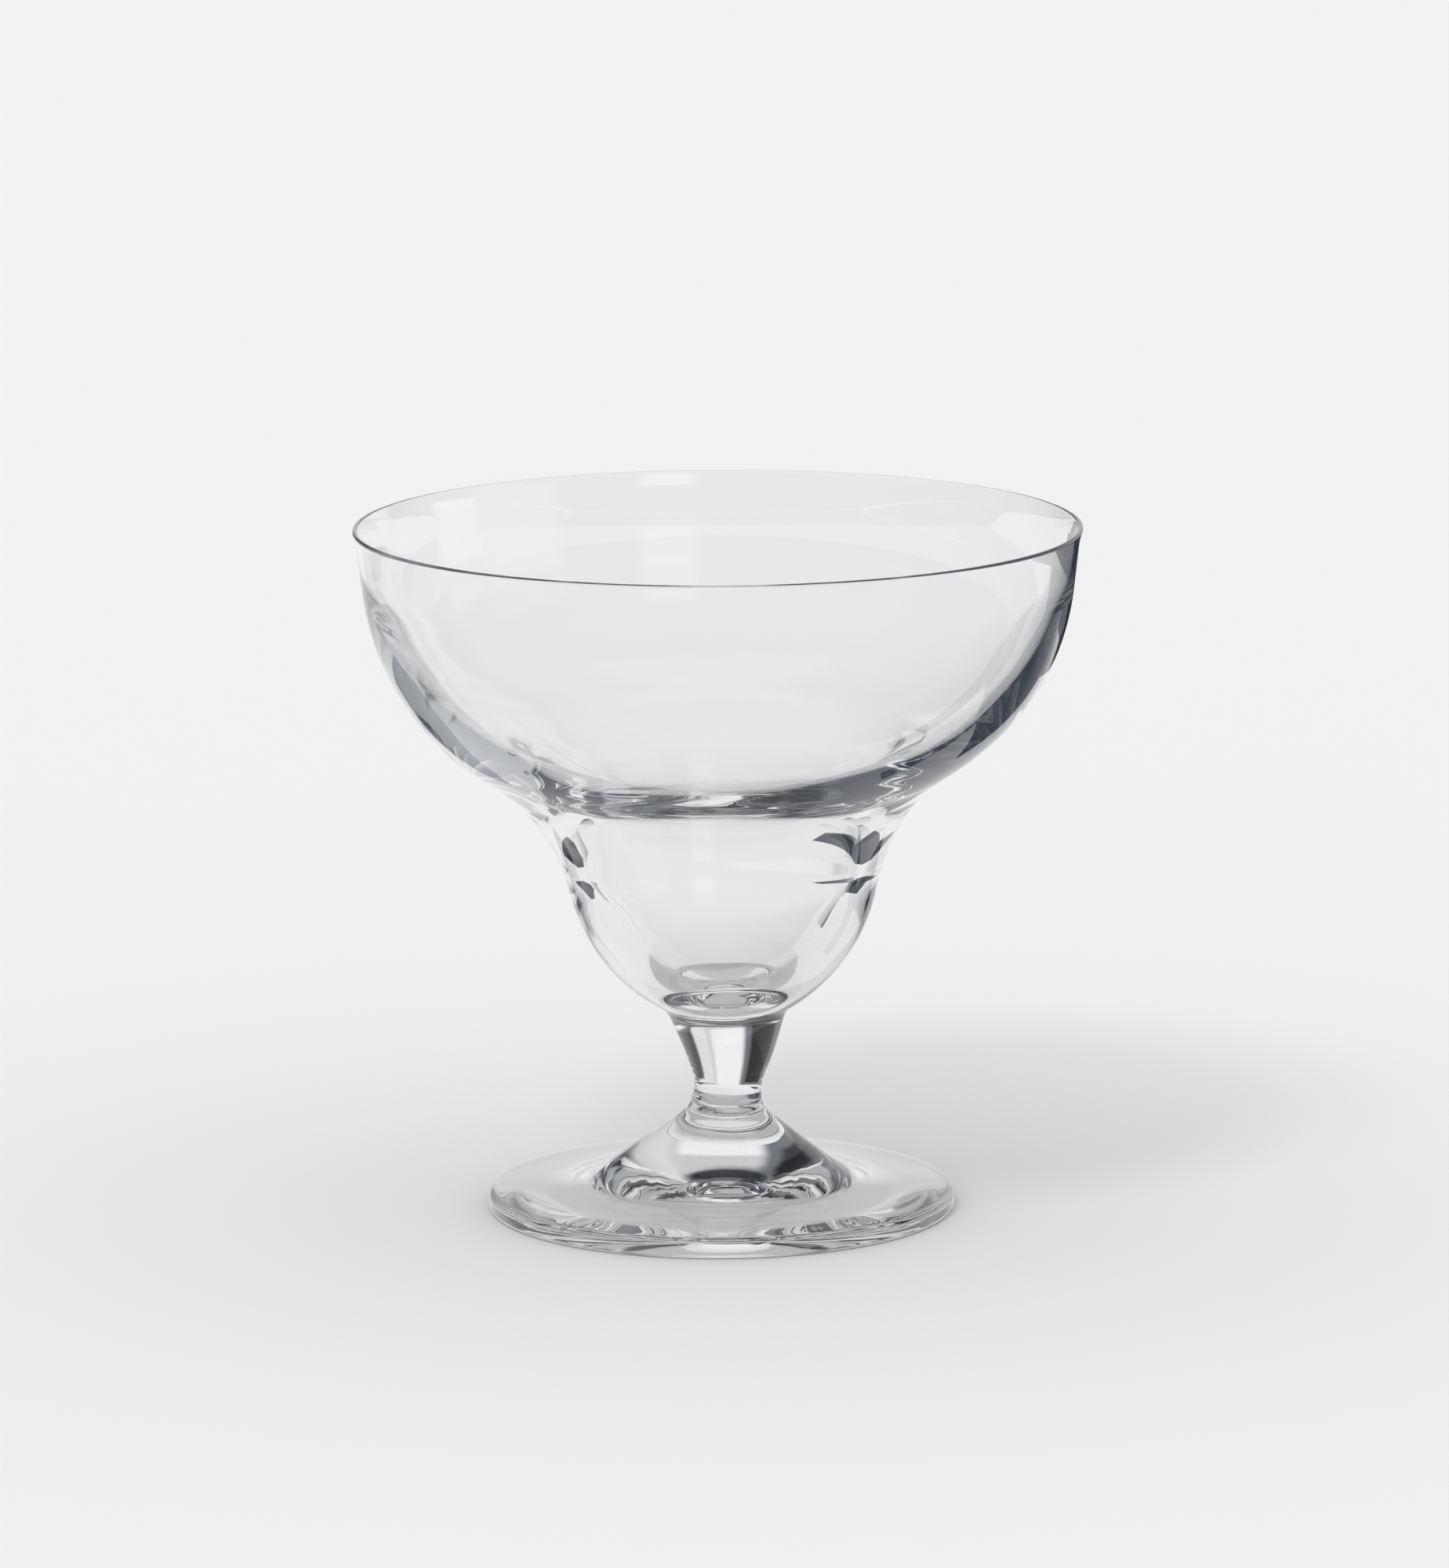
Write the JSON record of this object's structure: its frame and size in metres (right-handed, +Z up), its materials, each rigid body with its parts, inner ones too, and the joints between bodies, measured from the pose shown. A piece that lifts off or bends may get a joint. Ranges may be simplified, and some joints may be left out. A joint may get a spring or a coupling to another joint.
{
  "type": "dessert coupe",
  "caption": "Stemmed clear glass dessert coupe: a wide bowl drawn in at a waist over a small lower cup, on a short waisted stem and a round foot, for serving cold desserts and drinks.",
  "frame": {"origin": "on the axis of the glass, in the plane that the foot rests on", "axes": "+Z up along the axis of the glass, towards the rim; X and Y are any two directions across it"},
  "size_m": [0.115, 0.115, 0.1097],
  "materials": {
    "clear_glass": "polished, colourless"
  },
  "bodies": {
    "root": {"bowl": "clear_glass", "stem": "clear_glass", "foot": "clear_glass"}
  },
  "joints": []
}
